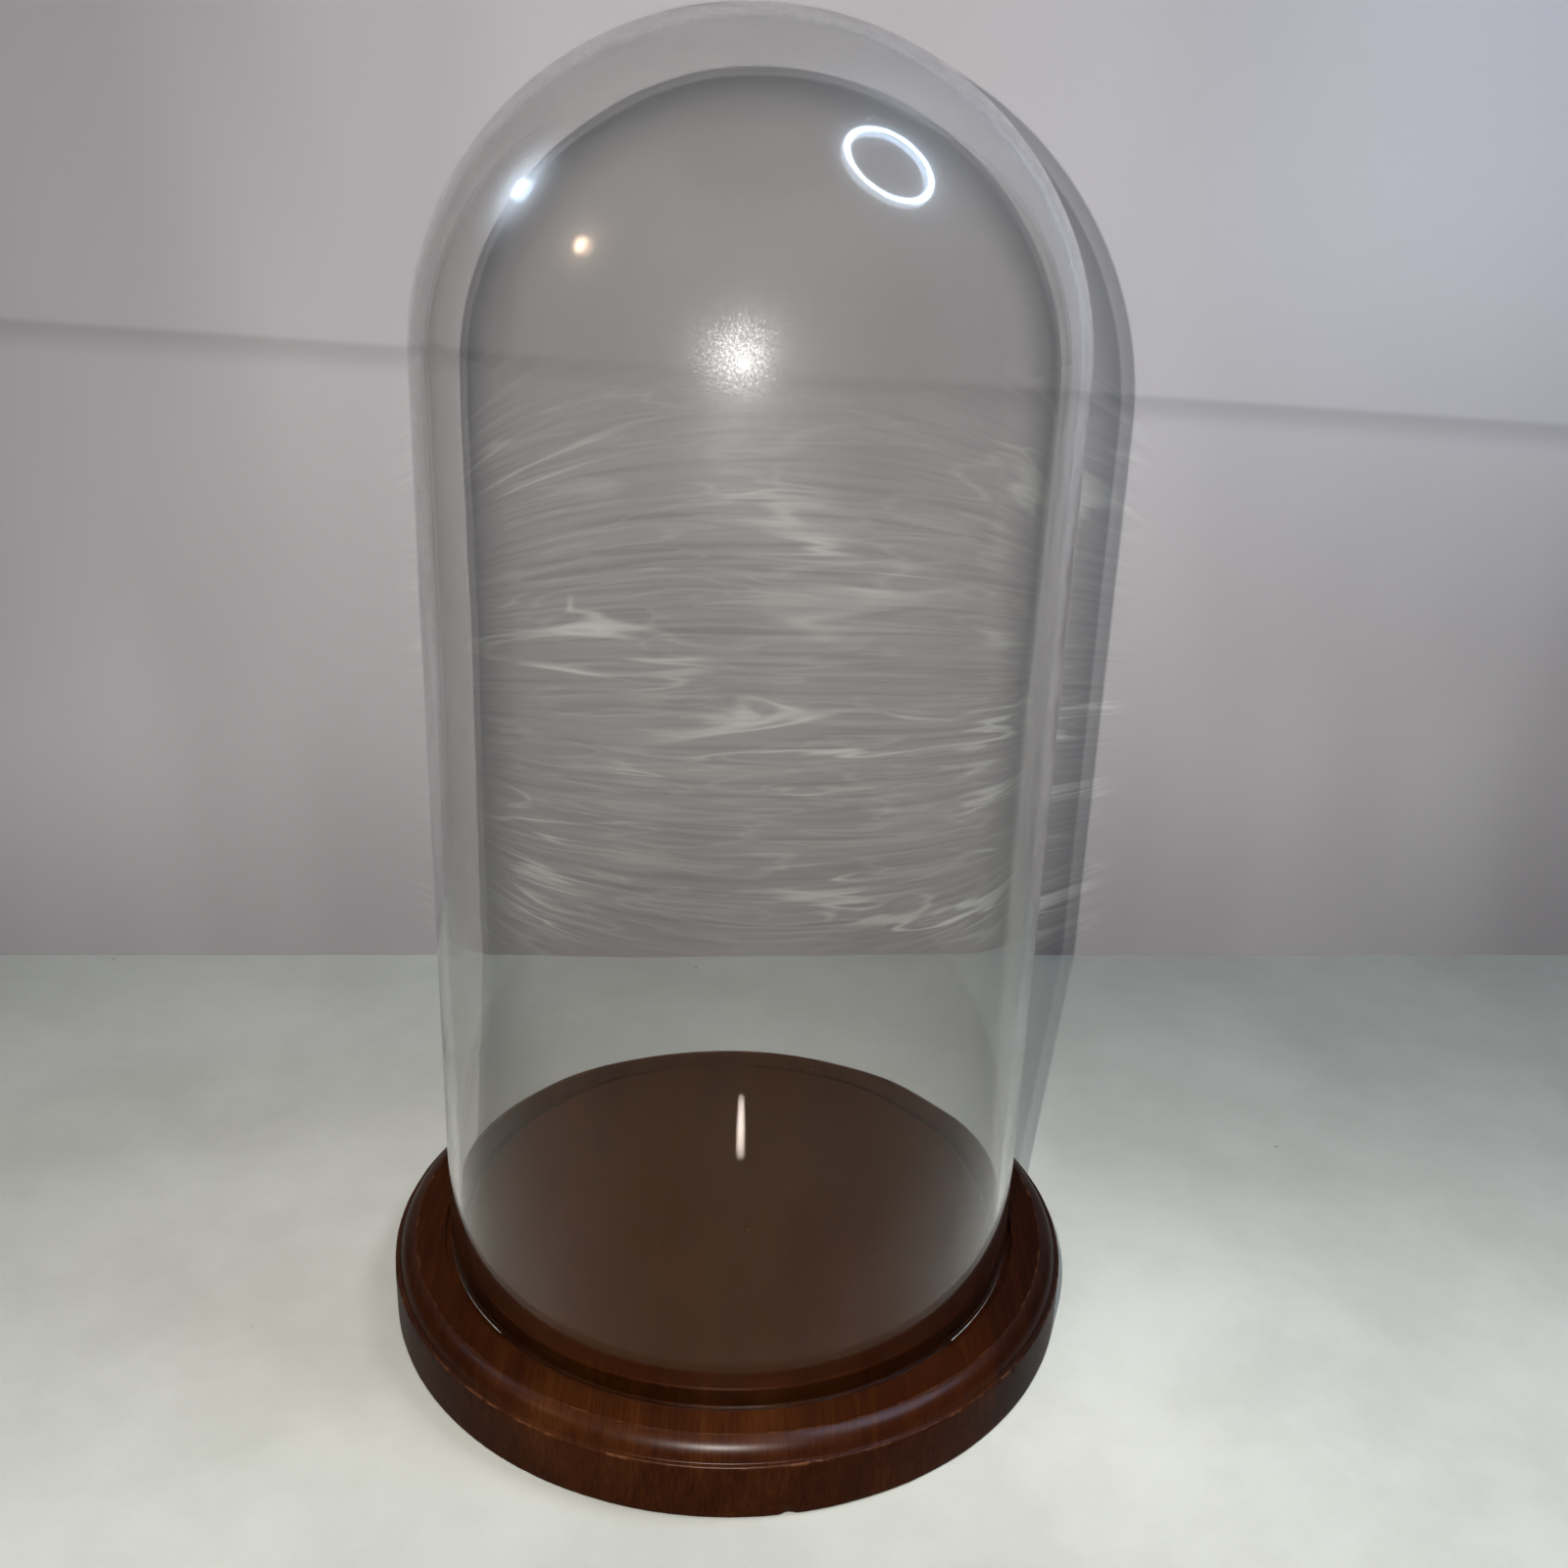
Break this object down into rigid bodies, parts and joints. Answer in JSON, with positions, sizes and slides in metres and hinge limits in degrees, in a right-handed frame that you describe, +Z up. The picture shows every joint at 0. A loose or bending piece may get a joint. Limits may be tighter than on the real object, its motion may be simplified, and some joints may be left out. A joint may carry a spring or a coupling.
{
  "type": "bell jar dome",
  "caption": "Blown glass dome with a rounded crown that stands in the groove of a turned, stained hardwood base with a raised display platform.",
  "frame": {"origin": "centre of the underside of the felt disc, on the surface that the object stands on", "axes": "+Z up along the axis of the dome and the base; X and Y are any two directions across the base, with the usual view along +Y"},
  "size_m": [0.167, 0.167, 0.2952],
  "materials": {
    "clear_glass": "clear polished glass with a faint grey-green edge",
    "stained_hardwood": "dark red-brown stain under satin lacquer",
    "dark_felt": "thin pressed felt"
  },
  "bodies": {
    "base": {"turned_base": "stained_hardwood", "felt_disc": "dark_felt"},
    "dome": {"glass_dome": "clear_glass"}
  },
  "joints": [
    {"name": "dome_lift", "type": "slide", "parent": "base", "child": "dome", "axis": [0, 0, 1], "range_m": [0, 0.3]}
  ]
}
